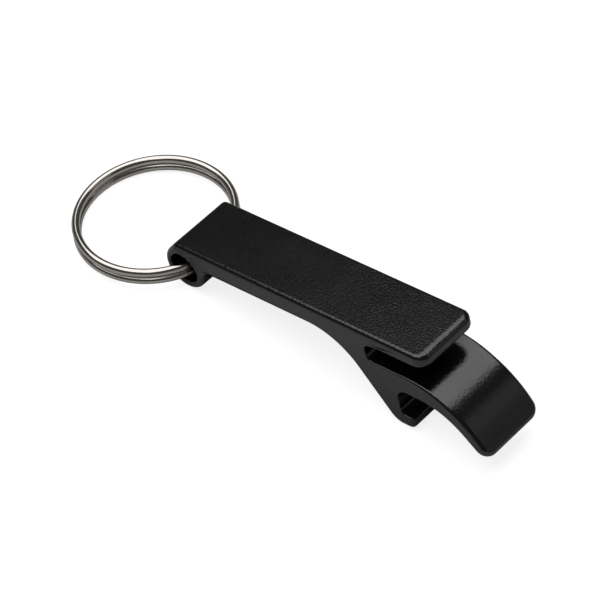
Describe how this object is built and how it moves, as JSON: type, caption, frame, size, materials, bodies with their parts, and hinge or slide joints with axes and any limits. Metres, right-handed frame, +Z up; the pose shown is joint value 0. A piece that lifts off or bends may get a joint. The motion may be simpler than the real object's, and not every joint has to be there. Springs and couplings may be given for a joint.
{
  "type": "keychain bottle opener",
  "caption": "Pocket bottle opener: black anodised aluminium lever with a curved tongue and a catch hook, on a nickel-plated split ring.",
  "frame": {"origin": "under the middle of the whole part, on the plane it lies on when the lever rests on its tail loop and its hook", "axes": "+X from the ring towards the tongue, +Z up from the plane, Y across the lever along the bore"},
  "size_m": [0.0806, 0.025, 0.0165],
  "materials": {
    "black_anodised_aluminium": "satin black anodised, tumbled edges",
    "nickel_plated_steel": "polished nickel plate"
  },
  "bodies": {
    "lever": {"opener_lever": "black_anodised_aluminium"},
    "ring": {"split_ring": "nickel_plated_steel"}
  },
  "joints": [
    {"name": "ring_swing", "type": "hinge", "parent": "lever", "child": "ring", "pos_m": [-0.01678, 0, 0.00365], "axis": [0, 1, 0], "range_deg": [-182, 158]}
  ]
}
